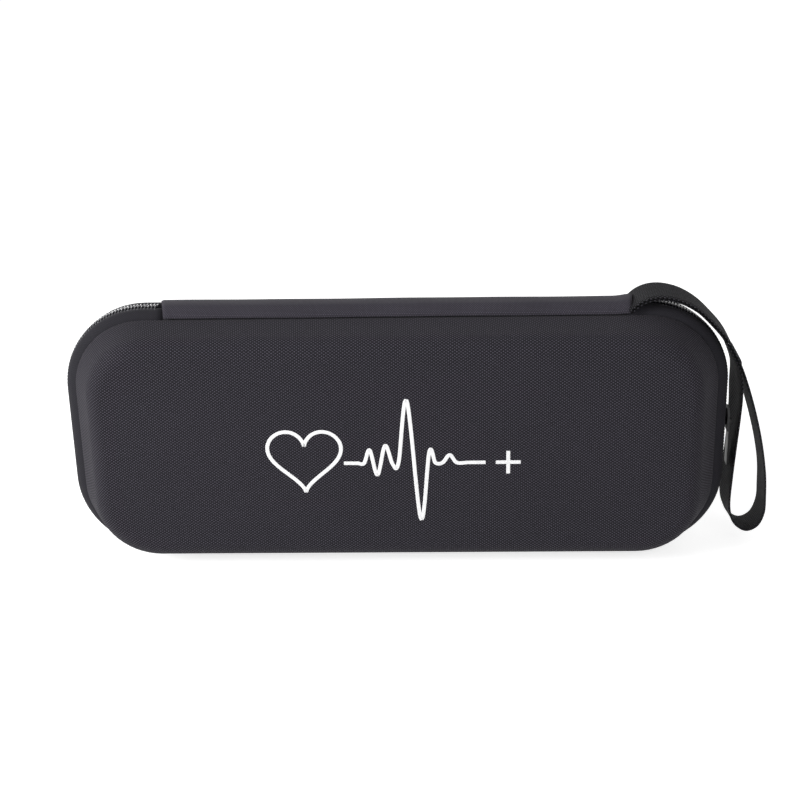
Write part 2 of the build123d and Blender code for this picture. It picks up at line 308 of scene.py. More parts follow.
# A closed section of (depth, inset) points carried along the zip, with both ends capped. The cloth
# map is the distance along the zip and the distance round the section.
def sweptTape(path, section, side):
    extra = case["seamInsetShort"] - case["seamInsetLong"]
    first = case["seamDepth"] - zipper["spreadRun"]
    rows = []
    for depth, inset in section:
        share = max(0.0, (depth - first) / zipper["spreadRun"])
        rows.append(alongZip(path, side * depth, inset, extra * share))
    points = np.stack(rows, axis=1).reshape(-1, 3)
    uv = clothGrid(path["s"], distanceAlong(section))
    return points, tubeFaces(len(path["s"]), len(section)), uv


# A socket that adds Math nodes when it is used in an expression.
class Value:
    def __init__(self, tree, socket):
        self.tree, self.socket = tree, socket

    def math(self, operation, *others):
        return addNode(self.tree, "ShaderNodeMath", {"operation": operation}, [self, *others])

    # Another output of the node this one belongs to.
    def sibling(self, key):
        return Value(self.tree, self.socket.node.outputs[key])

    def __add__(self, other): return self.math("ADD", other)
    def __radd__(self, other): return self.math("ADD", other)
    def __sub__(self, other): return self.math("SUBTRACT", other)
    def __rsub__(self, other): return self.math("MULTIPLY", -1.0).math("ADD", other)
    def __mul__(self, other): return self.math("MULTIPLY", other)
    def __rmul__(self, other): return self.math("MULTIPLY", other)
    def __truediv__(self, other): return self.math("DIVIDE", other)
    def __pow__(self, other): return self.math("POWER", other)
    def sin(self): return self.math("SINE")
    def abs(self): return self.math("ABSOLUTE")
    def floor(self): return self.math("FLOOR")
    def fract(self): return self.math("FRACT")
    def over(self, other): return self.math("GREATER_THAN", other)
    def most(self, other): return self.math("MAXIMUM", other)
    def least(self, other): return self.math("MINIMUM", other)


# Adds a node, sets its settings, then feeds its sockets by place or by name.
def addNode(tree, kind, settings=None, inputs=None, output=0):
    node = tree.nodes.new(kind)
    for key, value in (settings or {}).items():
        if key == "stops":
            ramp = node.color_ramp
            while len(ramp.elements) < len(value):
                ramp.elements.new(0.5)
            for element, (position, colour) in zip(ramp.elements, value):
                element.position, element.color = position, colour
        else:
            setattr(node, key, value)
    pairs = inputs.items() if isinstance(inputs, dict) else enumerate(inputs or [])
    for key, value in pairs:
        if isinstance(value, Value):
            tree.links.new(value.socket, node.inputs[key])
        else:
            node.inputs[key].default_value = value
    return Value(tree, node.outputs[output] if node.outputs else None)


# A Principled material and its shader, ready for what changes over the surface.
def newMaterial(name, roughness, specular, sheen=0.0, metallic=0.0):
    material = bpy.data.materials.new(name)
    material.use_nodes = True
    tree = material.node_tree
    shader = next(n for n in tree.nodes if n.type == "BSDF_PRINCIPLED")
    constants = {"Roughness": roughness, "Specular IOR Level": specular, "Sheen Weight": sheen,
                 "Metallic": metallic}
    for socket, value in constants.items():
        shader.inputs[socket].default_value = value
    return material, tree, shader


# Links values to the shader's sockets that change over the surface.
def feed(tree, shader, sockets):
    for socket, value in sockets.items():
        tree.links.new(value.socket, shader.inputs[socket])


# Screen values of 0 to 255 as the linear colour a shader takes.
def linear(*screen):
    shares = [v / 255 for v in screen]
    colour = [v / 12.92 if v <= 0.04045 else ((v + 0.055) / 1.055) ** 2.4 for v in shares]
    return (*colour, 1.0)


# A colour made darker by a share of its light.
def shade(colour, share):
    return tuple(c * share for c in colour[:3]) + (1.0,)


# The piece's own cloth map as two values in millimetres.
def clothMap(tree):
    uv = addNode(tree, "ShaderNodeUVMap", {"uv_map": "cloth"})
    split = addNode(tree, "ShaderNodeSeparateXYZ", None, [uv])
    return split / mm, split.sibling("Y") / mm, uv


# A point's own place on a hard piece, in metres.
def ownPlace(tree):
    return addNode(tree, "ShaderNodeTexCoord", output="Object")


# Noise of this scale and detail over a place, from 0 to 1.
def noise(tree, vector, scale, detail):
    return addNode(tree, "ShaderNodeTexNoise", None,
                   {"Vector": vector, "Scale": scale, "Detail": detail})


# A colour between a and b, each a colour or a socket.
def mixColour(tree, factor, a, b, mode="MIX"):
    # 0, 6 and 7 are the factor and the two colours, and 2 is the colour that comes out
    return addNode(tree, "ShaderNodeMix", {"data_type": "RGBA", "blend_type": mode},
                   {0: factor, 6: a, 7: b}, 2)


# A colour times a slow drift of grey, from low to high over the noise's middle half.
def withDrift(tree, colour, drift, low, high, start=0.25, stop=0.75):
    stops = [(start, (low, low, low, 1)), (stop, (high, high, high, 1))]
    grey = addNode(tree, "ShaderNodeValToRGB", {"stops": stops}, [drift])
    return mixColour(tree, 1.0, colour, grey, "MULTIPLY")


# Relief of a height that is worth so many millimetres.
def bump(tree, height, depth):
    return addNode(tree, "ShaderNodeBump", None, {"Height": height, "Distance": depth * mm,
                                                  "Strength": 1.0})


# Threads over and under each other. Each crossing is a rounded crown, sin(u) times sin(v), and the
# warp is on top where cos(u) and cos(v) have the same sign half a thread on, which makes a
# chequerboard.
def plainWeave(u, v, pitchU, pitchV):
    a, b = u * (math.pi / pitchU), v * (math.pi / pitchV)
    height = (a.sin().abs() * b.sin().abs()) ** 0.7
    over = (a.sin() * b.sin() * 1.6 + 0.5).least(1.0).most(0.0)
    return height, over


slowScale = 260.0      # of the noise that makes threads wander
fibreScale = 1800.0    # of the noise that shows single fibres


# Woven cloth: crowns with painted shade in the gaps, a painted highlight where the warp is on top,
# slow drift of tone and fine fibres.
def makeWovenFabric(name, settings):
    material, tree, shader = newMaterial(name, settings["roughness"], settings["specular"],
                                         settings["sheen"])
    u, v, uv = clothMap(tree)
    fine = noise(tree, uv, settings["fibreScale"], 2.0)
    slow = noise(tree, uv, slowScale, 2.0)
    u, v = u + (slow - 0.5) * settings["wander"], v + (fine - 0.5) * settings["wander"]
    height, over = plainWeave(u, v, settings["pitchU"], settings["pitchV"])
    drift = noise(tree, uv, settings["driftScale"], 3.0)
    # the warp's crossings take a painted highlight, lighter than the weft
    highlitThreads = mixColour(tree, over, settings["weft"], settings["warpHighlight"])
    # the gaps between the crowns take a painted shade, the gap colour
    cloth = mixColour(tree, height, settings["gap"], highlitThreads)
    relief = height * (0.6 + 0.4 * over) + fine * settings["fibre"]
    feed(tree, shader, {"Base Color": withDrift(tree, cloth, drift, settings["low"],
                                                settings["high"]),
                        "Normal": bump(tree, relief, settings["relief"])})
    return material


# in each cloth below, the warp colour is a painted highlight on the warp crossings and the gap
# colour a painted shade between the threads
outerFabric = makeWovenFabric("outer_fabric", {
    "pitchU": 0.865, "pitchV": 0.635, "wander": 0.12,
    "roughness": 0.85, "sheen": 0.03, "specular": 0.16,
    "warpHighlight": linear(78, 75, 85), "weft": linear(31, 29, 35), "gap": linear(11, 10, 13),
    "driftScale": 12.0, "low": 0.94, "high": 1.06, "fibreScale": 1500.0, "fibre": 0.15,
    "relief": 0.14})
# a finer weave, its weft and gap lighter than the outer fabric's: painted light on the strip along
# the top
litHingeFabric = makeWovenFabric("hinge_fabric", {
    "pitchU": 0.5, "pitchV": 0.5, "wander": 0.25,
    "roughness": 0.85, "sheen": 0.06, "specular": 0.15,
    "warpHighlight": linear(78, 75, 84), "weft": linear(56, 53, 61), "gap": linear(32, 30, 36),
    "driftScale": 40.0, "low": 0.88, "high": 1.1, "fibreScale": fibreScale, "fibre": 0.3,
    "relief": 0.06})
tapeCloth = makeWovenFabric("tape_cloth", {
    "pitchU": 0.5, "pitchV": 0.5, "wander": 0.1,
    "roughness": 0.85, "sheen": 0.03, "specular": 0.15,
    "warpHighlight": linear(52, 51, 57), "weft": linear(42, 41, 46), "gap": linear(22, 21, 25),
    "driftScale": 30.0, "low": 0.92, "high": 1.06, "fibreScale": fibreScale, "fibre": 0.2,
    "relief": 0.08})
webbingCloth = makeWovenFabric("webbing_cloth", {
    "pitchU": 0.95, "pitchV": 0.85, "wander": 0.04,
    "roughness": 0.75, "sheen": 0.0, "specular": 0.12,
    "warpHighlight": linear(64, 63, 68), "weft": linear(7, 7, 8), "gap": linear(2, 2, 3),
    "driftScale": 40.0, "low": 0.88, "high": 1.08, "fibreScale": 1500.0, "fibre": 0.3,
    "relief": 0.4})


# Smooth plastic with a faint mottle of tone.
def makePlainNylon(name, settings):
    material, tree, shader = newMaterial(name, settings["roughness"], settings["specular"])
    drift = noise(tree, ownPlace(tree), settings["mottleScale"], 2.0)
    colour = mixColour(tree, drift, shade(settings["colour"], settings["dark"]), settings["colour"])
    feed(tree, shader, {"Base Color": colour})
    return material


coilNylon = makePlainNylon("coil_nylon", {
    "colour": linear(60, 59, 66), "dark": 0.8, "mottleScale": 60.0, "roughness": 0.16,
    "specular": 0.9})


# the lip turns in where the fabric meets the tape: (depth, offset) of its rings
shell = {"crown": 0.7, "lip": [(8.45, 1.7), (8.5, 0.7), (8.72, 0.18)], "lipToWall": 0.35}


# A moulded cloth skin of one half: rings from the seam to the face, thickened inwards, turned round
# for the rear.
def makeSkin(half, piece, node, slotName, points, maps, columns, thickness, material):
    faces = gridFaces(len(points) // columns, columns, closeColumns=True)
    if half == "rear":
        points, faces = points * np.array([1, -1, 1]), faces[:, ::-1]
    obj = makePiece(half + piece, points, faces, half + "_half", slotName, material, half + node,
                    uv=maps)
    solid = obj.modifiers.new("thickness", "SOLIDIFY")
    solid.thickness, solid.offset = thickness * mm, -1


# The outer fabric of both halves: the lip at the seam, then the wall and the face.
def makeShells():
    stations = loopStations()
    columns = len(stations[0])
    points, maps = shellSurface(0.0, shell["crown"], stations,
                                shell["lip"][-1][0] + shell["lipToWall"])
    lip = [wallRing(depth, offset, stations, 1) for depth, offset in shell["lip"]]
    points = np.concatenate(lip + [points])
    maps = np.concatenate([maps[:columns]] * len(lip) + [maps])
    for half in halves:
        makeSkin(half, "_woven_fabric", "_outer_fabric", "outer_fabric", points, maps, columns,
                 case["fabric"], outerFabric)
    print("outer fabric done")


zipper = {
    "tapeThickness": 0.55, "tapeStep": 3.0,
    # (depth, inset) of the tape's outer side, from beside the teeth to the seam
    "tapeOuter": [(2.6, 0.75), (3.6, 0.6), (5.0, 0.6), (6.0, 1.0), (6.9, 1.75), (7.7, 2.9),
                  (8.2, 4.0), (8.7, 5.2)],
    "tapeStart": {"front": (0.95, 0.95), "rear": (0.35, 0.95)},
    "spreadRun": 4.3,    # depth before the seam over which the ends draw in further
    "pitch": 1.45,
    # one tooth from the tape to its head: how far across, half width, top and underside
    "across": [3.25, 3.1, 1.6, 0.4, -0.1, -0.42, -0.5],
    "wide": [0.16, 0.3, 0.3, 0.33, 0.42, 0.38, 0.2],
    "top": [0.75, 0.35, 0.08, 0.05, 0.08, 0.16, 0.42],
    "low": [1.1, 1.16, 1.16, 1.05, 0.95, 0.9, 0.7],
    "sides": 8,
}


# The tape lies flat beside the coil, then slopes to the seam where it is sewn to the shell.
def makeTapes():
    path = zipPath(zipper["tapeStep"])
    for half, side in halves.items():
        outer = [zipper["tapeStart"][half]] + zipper["tapeOuter"]
        inner = [(depth, inset + zipper["tapeThickness"]) for depth, inset in reversed(outer)]
        points, faces, uv = sweptTape(path, outer + inner, side)
        makePiece(half + "_tape", points, faces, half + "_half", "zip_tape", tapeCloth,
                  half + "_zip_tape", uv=uv)
    print("tapes done")


# One turn of the coil as a bar across the zip: a rounded section carried from the tape to its head,
# which swells and drops a little past the middle.
def toothShape(side):
    across, wide, top, low = (np.array(zipper[key])[:, None]
                              for key in ("across", "wide", "top", "low"))
    angle = (np.arange(zipper["sides"]) + 0.5) * 2 * math.pi / zipper["sides"]
    inset = (top + low) / 2 - (low - top) / 2 * np.sin(angle)
    return wide * np.cos(angle), -side * across + 0 * angle, inset


# Copies of one tooth set along the zip, every other gap taken by the other half's teeth.
def makeTeeth():
    path = zipPath(zipper["pitch"])
    count = int(path["total"] // zipper["pitch"]) - 1
    rings, sides = len(zipper["across"]), zipper["sides"]
    for half, side, shift in (("front", 1, 0.5), ("rear", -1, 1.0)):
        along, y, inset = toothShape(side)
        s = (np.arange(count) + shift) * zipper["pitch"]
        cx, cz, turn = (np.interp(s, path["s"], path[key])[:, None, None]
                        for key in ("cx", "cz", "turn"))
        reach = case["cornerRadius"] - inset
        x = cx + reach * np.cos(turn) + along * np.sin(turn)
        z = cz + reach * np.sin(turn) - along * np.cos(turn) + midZ
        points = np.stack([x, np.broadcast_to(y, x.shape), z], axis=-1).reshape(-1, 3)
        faces = repeatedFaces(tubeFaces(rings, sides), rings * sides, count)
        makePiece(half + "_coil_teeth", points, faces, half + "_half", "zip_coil", coilNylon,
                  half + "_zip_coil", merge=1e-7)
    print("teeth done")


hinge = {
    # both ends, and how far they are out of square
    "left": -98.4, "right": 100.0, "slantLeft": -0.2, "slantRight": 0.14,
    # from the middle to where the fall starts and to the sewn edge
    "fallStart": 3.4, "edge": 8.7, "fall": 2.45, "rise": 0.1, "thickness": 1.1,
    # the dome, its share at the middle and how much less that is at the right end
    "dome": 1.1, "domeMiddle": 0.85, "domeLean": 0.15,
    "lift": 0.9, "liftStart": 92.0,          # over the strap's sewn end
    "rollEnd": 0.9, "rollSide": 0.6, "roll": 0.45, "rollUnder": 0.09,
    # height, wave length in x, wave length in y and start of each ripple
    "ripples": [(0.06, 17.0, None, 0.6), (0.04, 7.3, 3.0, 0.0)],
    "rows": 170, "columns": 28, "join": 4.6,
}


# A dome over the middle that is lower towards the right, then a smooth fall to each seam, with a
# lift where it lies over the strap's end and a slow ripple along its length.
def hingeHeight(x, y):
    start = hinge["fallStart"]
    down = np.clip((np.abs(y) - start) / (hinge["edge"] - start), 0, 1)
    z = case["height"] + hinge["rise"] - hinge["fall"] * down ** 1.5
    share = hinge["domeMiddle"] - hinge["domeLean"] * x / hinge["right"]
    z = z + hinge["dome"] * (1 - (y / hinge["edge"]) ** 2) ** 1.5 * share
    over = np.clip((x - hinge["liftStart"]) / (hinge["right"] - hinge["liftStart"]), 0, 1)
    z = z + hinge["lift"] * over ** 2 * (3 - 2 * over) * (1 - 0.5 * down)
    for height, waveX, waveY, phase in hinge["ripples"]:
        z = z + height * np.sin(x / waveX + (y / waveY if waveY else 0) + phase)
    return z


# A sheet over x and y with its underside one thickness below, rolled edges at both ends and both
# sides.
def makeHinge():
    rows, columns = hinge["rows"], hinge["columns"]
    share, yy = gridOver((0, 1, rows), (-hinge["edge"], hinge["edge"], columns))
    left = hinge["left"] + hinge["slantLeft"] * yy
    right = hinge["right"] + hinge["slantRight"] * yy
    xx = left + (right - left) * share
    top = hingeHeight(xx, yy)
    nearEnd = np.minimum(xx - left, right - xx) / hinge["rollEnd"]
    nearSide = (hinge["edge"] - np.abs(yy)) / hinge["rollSide"]
    rolled = np.clip(1 - np.minimum(nearEnd, nearSide), 0, 1) ** 2
    upper = np.stack([xx, yy, top - rolled * hinge["roll"]], axis=-1).reshape(-1, 3)
    bottom = top - hinge["thickness"] + rolled * hinge["rollUnder"]
    points = np.concatenate([upper, np.stack([xx, yy, bottom], axis=-1).reshape(-1, 3)])
    obj = makePiece("hinge_cloth", points, sheetFaces(rows, columns), None, "hinge_fabric",
                    litHingeFabric, "hinge_strip", uv=points[:, :2] * mm)
    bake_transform(obj)
    print("hinge done")


strap = {
    "width": 20.0, "ply": 1.0, "plyGap": 0.05, "selvedge": 0.35, "steps": 220, "across": 12,
    # (x, z) of both edges from the hinge end over the arch, down, round and up to the arch again
    "route": [(98.4, 112.3), (101.9, 115.4), (106.0, 117.4), (110.9, 118.1), (116.2, 117.4),
              (121.8, 115.4), (127.9, 111.5), (133.8, 105.7), (138.8, 99.8), (142.7, 93.2),
              (147.0, 84.0), (151.6, 70.6), (155.2, 57.5), (157.6, 46.0), (159.2, 35.0),
              (159.8, 25.0), (159.8, 17.6), (157.5, 11.2), (153.1, 8.5), (149.0, 10.0),
              (145.9, 14.4), (144.4, 21.6), (144.9, 35.5), (145.7, 50.0), (146.4, 62.0),
              (147.0, 73.0)],
    # at each point from the hinge end on: how much lower the back edge hangs, how much nearer the
    # case it is, and how far the middle bows out
    "hang": [0] * 13 + [0.2, 0.6, 1.2, 2.2, 2.8, 3.0, 3.0, 2.6, 1.8, 1.0, 0.4, 0, 0],
    "lean": [0] * 9 + [0.2, 0.8, 1.4, 1.0, 0.4] + [0] * 6 + [0.4, 0.9, 0.9, 0.9, 1.4, 2.4],
    "bow": [0] * 10 + [0.1, 0.3, 0.3, 0.3, 0.3, 0.3, 0.2, 0, 0, 0, 0.5, 1.0, 0.8, 0.9, 1.2, 0.7],
    "neck": 11,                      # how many points the inner ply runs back under
    "neckLean": [1.8, 0.7, 0.2],
    "stillUntil": 99.5, "movesFrom": 103.5,    # x between which it goes over to the strap's body
}


# A curve through the knots (Catmull-Rom: each stretch leaves along the line between its
# neighbours).
def smoothLine(knots, count):
    knots = np.asarray(knots, float)
    padded = np.concatenate([[2 * knots[0] - knots[1]], knots, [2 * knots[-1] - knots[-2]]])
    t = np.linspace(0, len(knots) - 1 - 1e-9, count)
    i = t.astype(int)
    f = (t - i)[:, None]
    p0, p1, p2, p3 = padded[i], padded[i + 1], padded[i + 2], padded[i + 3]
    return 0.5 * (2 * p1 + (p2 - p0) * f + (2 * p0 - 5 * p1 + 4 * p2 - p3) * f ** 2
                  + (3 * p1 - p0 - 3 * p2 + p3) * f ** 3)


# A flat band: grid of centre points, given both faces by its normal, thinner towards its selvedges.
# The cloth map is the distance along it and across it.
def ribbon(centre, halfWidth, thickness):
    normal = np.cross(np.gradient(centre, axis=0), np.gradient(centre, axis=1))
    normal /= np.linalg.norm(normal, axis=2, keepdims=True)
    n, m, _ = centre.shape
    share = np.linspace(-1, 1, m)
    # the selvedge is the last tenth of each half width
    thin = (1 - strap["selvedge"]) * np.clip((np.abs(share) - 0.9) / 0.1, 0, 1) ** 2
    half = normal * (thickness / 2 * (1 - thin))[None, :, None]
    points = np.concatenate([(centre + half).reshape(-1, 3), (centre - half).reshape(-1, 3)])
    along = distanceAlong(centre[:, m // 2])
    maps = clothGrid(along, share * halfWidth)
    return points, sheetFaces(n, m), np.concatenate([maps, maps]), along[-1]


# A ribbon as a finished piece, its centre given as a grid of each coordinate.
def ribbonPiece(name, coordinates, halfWidth, thickness, body, slotName, material, *nodes):
    points, faces, uv, _ = ribbon(np.stack(coordinates, axis=-1), halfWidth, thickness)
    return makePiece(name, points, faces, body, slotName, material, *nodes, uv=uv)


# The route's smooth line carried across the width, the back edge hanging lower and the middle bowed
# out, with the inner ply lying under the arch.
def strapCentre():
    route = np.array(strap["route"])
    neck = strap["neck"]
    along = np.gradient(route[:neck], axis=0)
    out = np.stack([-along[:, 1], along[:, 0]], axis=1)
    out /= np.linalg.norm(out, axis=1, keepdims=True)
    under = (route[:neck] - out * (strap["ply"] + strap["plyGap"]))[::-1]
    line = smoothLine(np.concatenate([route, under]), strap["steps"])
    extra = np.stack([strap["hang"], strap["lean"], strap["bow"]], axis=1)
    tail = np.zeros((neck, 3))
    tail[:len(strap["neckLean"]), 1] = strap["neckLean"]
    hang, lean, bow = smoothLine(np.concatenate([extra, tail]), strap["steps"]).T
    share = np.linspace(-1, 1, strap["across"])[None, :]
    x = line[:, :1] + bow[:, None] * (1 - share ** 2) - lean[:, None] * (1 + share) / 2
    z = line[:, 1:] - hang[:, None] * share / 2
    y = np.broadcast_to(strap["width"] / 2 * share, x.shape)
    return np.stack([x, y, z], axis=-1)


# The webbing as one ribbon, from the hinge end over the arch, round the loop and back under the
# arch.
def makeStrap():
    points, faces, uv, length = ribbon(strapCentre(), strap["width"] / 2, strap["ply"])
    obj = makePiece("strap_webbing", points, faces, None, "webbing", webbingCloth,
                    "wrist_strap_neck", "wrist_strap_loop", uv=uv)
    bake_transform(obj)
    print("strap done, webbing %.0f mm" % length)


artwork = {
    "stroke": 1.6, "proud": 0.12, "pulseSteps": 240, "armSteps": 12,
    "ink": {"dark": linear(226, 226, 228), "light": linear(250, 250, 250), "grainScale": 900.0,
            "relief": 0.05},
    # half the line's section: how far out and how proud, as shares
    "section": [(-1, -0.1), (-1, 0.6), (-0.7, 1), (0.7, 1), (1, 0.6), (1, -0.1)],
    "heart": {"centre": (-38.0, 55.5), "size": 15.5, "steps": 120},
    "pulse": [(-21.5, 52.5), (-16.0, 52.5), (-13.0, 52.5), (-10.5, 58.5), (-7.5, 47.0),
              (-4.0, 60.5), (-1.0, 52.0), (1.5, 52.5), (5.5, 80.5), (10.5, 26.0),
              (14.5, 57.5), (17.0, 52.5), (20.0, 52.5), (23.0, 56.0), (26.0, 52.5),
              (31.0, 52.5), (38.0, 52.5)],
    "plus": {"centre": (47.5, 52.5), "arm": 5.2},
}


# How far out the front face lies: its depth and its crown, which grows as the quarter sine of how
# far in the point is from the nearer edge.
def faceDepth(x, z):
    profile = wallProfile(0.0)
    edge = profile["edge"]
    insets = [(z, profile["insetZ"][edge]), (case["height"] - z, profile["insetZ"][edge]),
              (case["length"] / 2 - np.abs(x), profile["insetX"][edge])]
    share = np.min([(inset - start) / (case["height"] / 2 - start) for inset, start in insets],
                   axis=0)
    return case["depth"] / 2 + shell["crown"] * np.sin(np.clip(share, 0, 1) * math.pi / 2)


# A flat line of ink: each point moved half the stroke's width to both sides, square to its
# neighbours.
def strokeShape(line, closed):
    line = np.asarray(line, float)
    ahead = np.roll(line, -1, axis=0) - np.roll(line, 1, axis=0)
    if not closed:
        ahead[0], ahead[-1] = line[1] - line[0], line[-1] - line[-2]
    ahead /= np.linalg.norm(ahead, axis=1, keepdims=True)
    out = np.stack([-ahead[:, 1], ahead[:, 0]], axis=1)
    rows = []
    for reach, lift in artwork["section"]:
        x, z = (line + out * reach * artwork["stroke"] / 2).T
        rows.append(np.stack([x, -faceDepth(x, z) - lift * artwork["proud"], z], axis=1))
    return np.stack(rows, axis=1).reshape(-1, 3), tubeFaces(len(line), len(rows), closed)


# The textbook heart: x = 16 sin(t)^3 and z = 13 cos(t) - 5 cos(2t) - 2 cos(3t) - cos(4t), scaled.
def heartLine():
    count = artwork["heart"]["steps"]
    t = np.linspace(0, 2 * math.pi, count, endpoint=False) + math.pi / count
    x = 16 * np.sin(t) ** 3
    z = 13 * np.cos(t) - 5 * np.cos(2 * t) - 2 * np.cos(3 * t) - np.cos(4 * t)
    size = artwork["heart"]["size"] / 16
    return np.stack([x, z], axis=1) * size + np.array(artwork["heart"]["centre"])


# A heart, a pulse line and a plus in raised ink on the front face.
def makePrint():
    (cx, cz), arm = artwork["plus"]["centre"], artwork["plus"]["arm"]
    steps = artwork["armSteps"]
    strokes = [(heartLine(), True), (smoothLine(artwork["pulse"], artwork["pulseSteps"]), False),
               (np.linspace((cx - arm, cz), (cx + arm, cz), steps), False),
               (np.linspace((cx, cz - arm), (cx, cz + arm), steps), False)]
    points, faces = joined([strokeShape(line, closed) for line, closed in strokes])
    ink = artwork["ink"]
    material, tree, shader = newMaterial("print_ink", roughness=0.6, specular=0.3)
    grain = noise(tree, ownPlace(tree), ink["grainScale"], 3.0)
    feed(tree, shader, {"Base Color": mixColour(tree, grain, ink["dark"], ink["light"]),
                        "Normal": bump(tree, grain, ink["relief"])})
    makePiece("front_print", points, faces, "front_half", "print", material, smooth=False)
    print("print done")


thread = {
    "length": 2.6, "gap": 0.9, "radius": 0.22, "bend": 6, "sides": 6,
    # in radii: how high it arches, how deep it starts, the size of its ends, what its middle adds
    "arch": 1.6, "sink": 0.75, "endSize": 0.55, "swell": 0.45,
}
stitchPitch = thread["length"] + thread["gap"]


# Short threads from start to end: a rounded section of six sides, arched over the cloth by a half
# sine and dipping into it at both ends.
def makeStitches(name, starts, ends, normals, body, material, *nodes, radius=None):
    radius = radius or thread["radius"]
    bend, sides = thread["bend"], thread["sides"]
    t = np.linspace(0, 1, bend)
    reach = ends - starts
    middle = starts[:, None] + reach[:, None] * t[None, :, None]
    lift = radius * (thread["arch"] * np.sin(math.pi * t) ** 0.6 - thread["sink"])
    middle = middle + normals[:, None] * lift[None, :, None]
    across = np.cross(reach / np.linalg.norm(reach, axis=1, keepdims=True), normals)
    angle = np.linspace(0, 2 * math.pi, sides, endpoint=False)[None, None, :, None]
    size = radius * (thread["endSize"] + thread["swell"] * np.sin(math.pi * t))
    ring = across[:, None, None] * np.cos(angle) + normals[:, None, None] * np.sin(angle)
    points = middle[:, :, None] + ring * size[None, :, None, None]
    faces = repeatedFaces(tubeFaces(bend, sides), bend * sides, len(starts))
    makePiece(name, points.reshape(-1, 3), faces, body, "thread", material, *nodes, merge=1e-7)


lining = {"offset": 4.6, "start": 0.35, "crown": 0.4}

binding = {
    # (depth, offset) round the wrapped edge of each rim
    "section": [(0.30, 1.35), (0.08, 1.55), (0.05, 2.6), (0.05, 5.6), (0.12, 6.6), (0.5, 7.1),
                (1.4, 7.25), (4.0, 7.2), (6.6, 7.2), (7.2, 7.0), (7.3, 6.6), (7.1, 6.4),
                (4.0, 6.45), (1.2, 6.45), (0.6, 6.2), (0.32, 5.4), (0.30, 2.6)],
    "seam": (5.6, 7.28),
}


# A closed section of (depth, offset) points carried round the wall's rounded rectangles.
def sweepOnWall(name, section, stations, closed, side, half, node):
    points = np.stack([wallRing(depth, offset, stations, side) for depth, offset in section],
                      axis=1)
    n, m = points.shape[:2]
    uv = clothGrid(distanceAlong(points[:, 0]), distanceAlong(section))
    makePiece(name, points.reshape(-1, 3), tubeFaces(n, m, closed), half + "_half", "binding",
              bindingCloth, node, uv=uv)


# Stations an even step apart along the ring at this depth and offset, above low where it is given.
def evenStations(stations, depth, offset, step, low=None):
    cx, cz, turn = (np.append(a, a[0]) for a in stations)
    turn[-1] += 2 * math.pi
    x, z = ringPoints((cx, cz, turn), *wallInsets(depth, offset))
    s = distanceAlong(np.stack([x, z], axis=1))
    count = int(s[-1] // step)
    at = (np.arange(count) + 0.5) * s[-1] / count
    cx, cz, turn = (np.interp(at, s, a) for a in (cx, cz, turn))
    if low is not None:
        z = ringPoints((cx, cz, turn), *wallInsets(depth, offset))[1]
        keep = (z > low) & (turn < 1.5 * math.pi)
        cx, cz, turn = cx[keep], cz[keep], turn[keep]
    return cx, cz, turn


# Stitches along a ring, each from one station towards the next, standing off the wall or off the
# plane.
def stitchRing(name, stations, depth, offset, side, half, inwards=True):
    start = wallRing(depth, offset, stations, side)
    reach = np.roll(start, -1, axis=0) - start
    near = np.linalg.norm(reach, axis=1) < 2 * stitchPitch
    start, reach, turn = start[near], reach[near], stations[2][near]
    normal = np.stack([-np.cos(turn), np.zeros(len(turn)), -np.sin(turn)], axis=1)
    if not inwards:
        normal = np.tile([0.0, side, 0.0], (len(turn), 1))
    makeStitches(name, start, start + reach * thread["length"] / stitchPitch, normal,
                 half + "_half", darkThread)


# The lining skin of both halves, the binding round its rim and the stitches through that.
def makeLinings():
    stations = loopStations()
    seams = evenStations(stations, *binding["seam"], stitchPitch)
    points, maps = shellSurface(lining["offset"], lining["crown"], stations, lining["start"])
    for half, side in halves.items():
        makeSkin(half, "_lining_cloth", "_lining", "lining", points, maps, len(stations[0]),
                 case["liningThickness"], liningCloth)
        sweepOnWall(half + "_binding_tape", binding["section"], stations, True, side, half,
                    half + "_rim_binding")
        stitchRing(half + "_binding_stitches", seams, *binding["seam"], side, half)
    print("linings and bindings done")


hingeLining = {
    "halfWidth": 6.0, "halfLength": 106.0, "top": 103.35, "thickness": 0.8, "sag": 0.35,
    "join": 5.2, "grid": (60, 22),
}


# The strip over the gap between the rims, a low arch from one binding to the other.
def makeHingeLining():
    halfLength, halfWidth = hingeLining["halfLength"], hingeLining["halfWidth"]
    thickness = hingeLining["thickness"]
    rows, columns = hingeLining["grid"]
    xx, yy = gridOver((-halfLength, halfLength, rows), (-halfWidth, halfWidth, columns))
    sag = hingeLining["sag"] * np.cos(yy / halfWidth * math.pi / 2)
    zz = hingeLining["top"] - thickness / 2 - sag
    obj = ribbonPiece("hinge_lining_cloth", (xx, yy, zz), halfWidth, thickness, None,
                      "hinge_fabric", bindingCloth, "hinge_lining_strip")
    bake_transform(obj)
    print("hinge lining done")


pocket = {
    "depth": 7.9, "mouth": 38.0, "inset": 0.3, "foamGlue": 0.1, "slack": 0.3,
    "ripple": 0.08, "rippleWave": 9.0, "rippleTurn": 2.0,    # and how far its phase moves upwards
    "tapeDepth": 6.9, "tapeOffset": 6.6, "tapeWidth": 5.0, "tapeHalf": 0.6, "tapeStep": 2.0,
    "tapeAboveMouth": 0.3, "stitchAboveMouth": 2.0, "stitchSink": 0.05,
    "elasticDepth": 8.95, "elasticWidth": 8.0, "elasticThickness": 0.9, "elasticShort": 0.5,
    "pucker": 0.12, "puckerWave": 2.1, "grid": (34, 110), "elasticGrid": (240, 9),
}


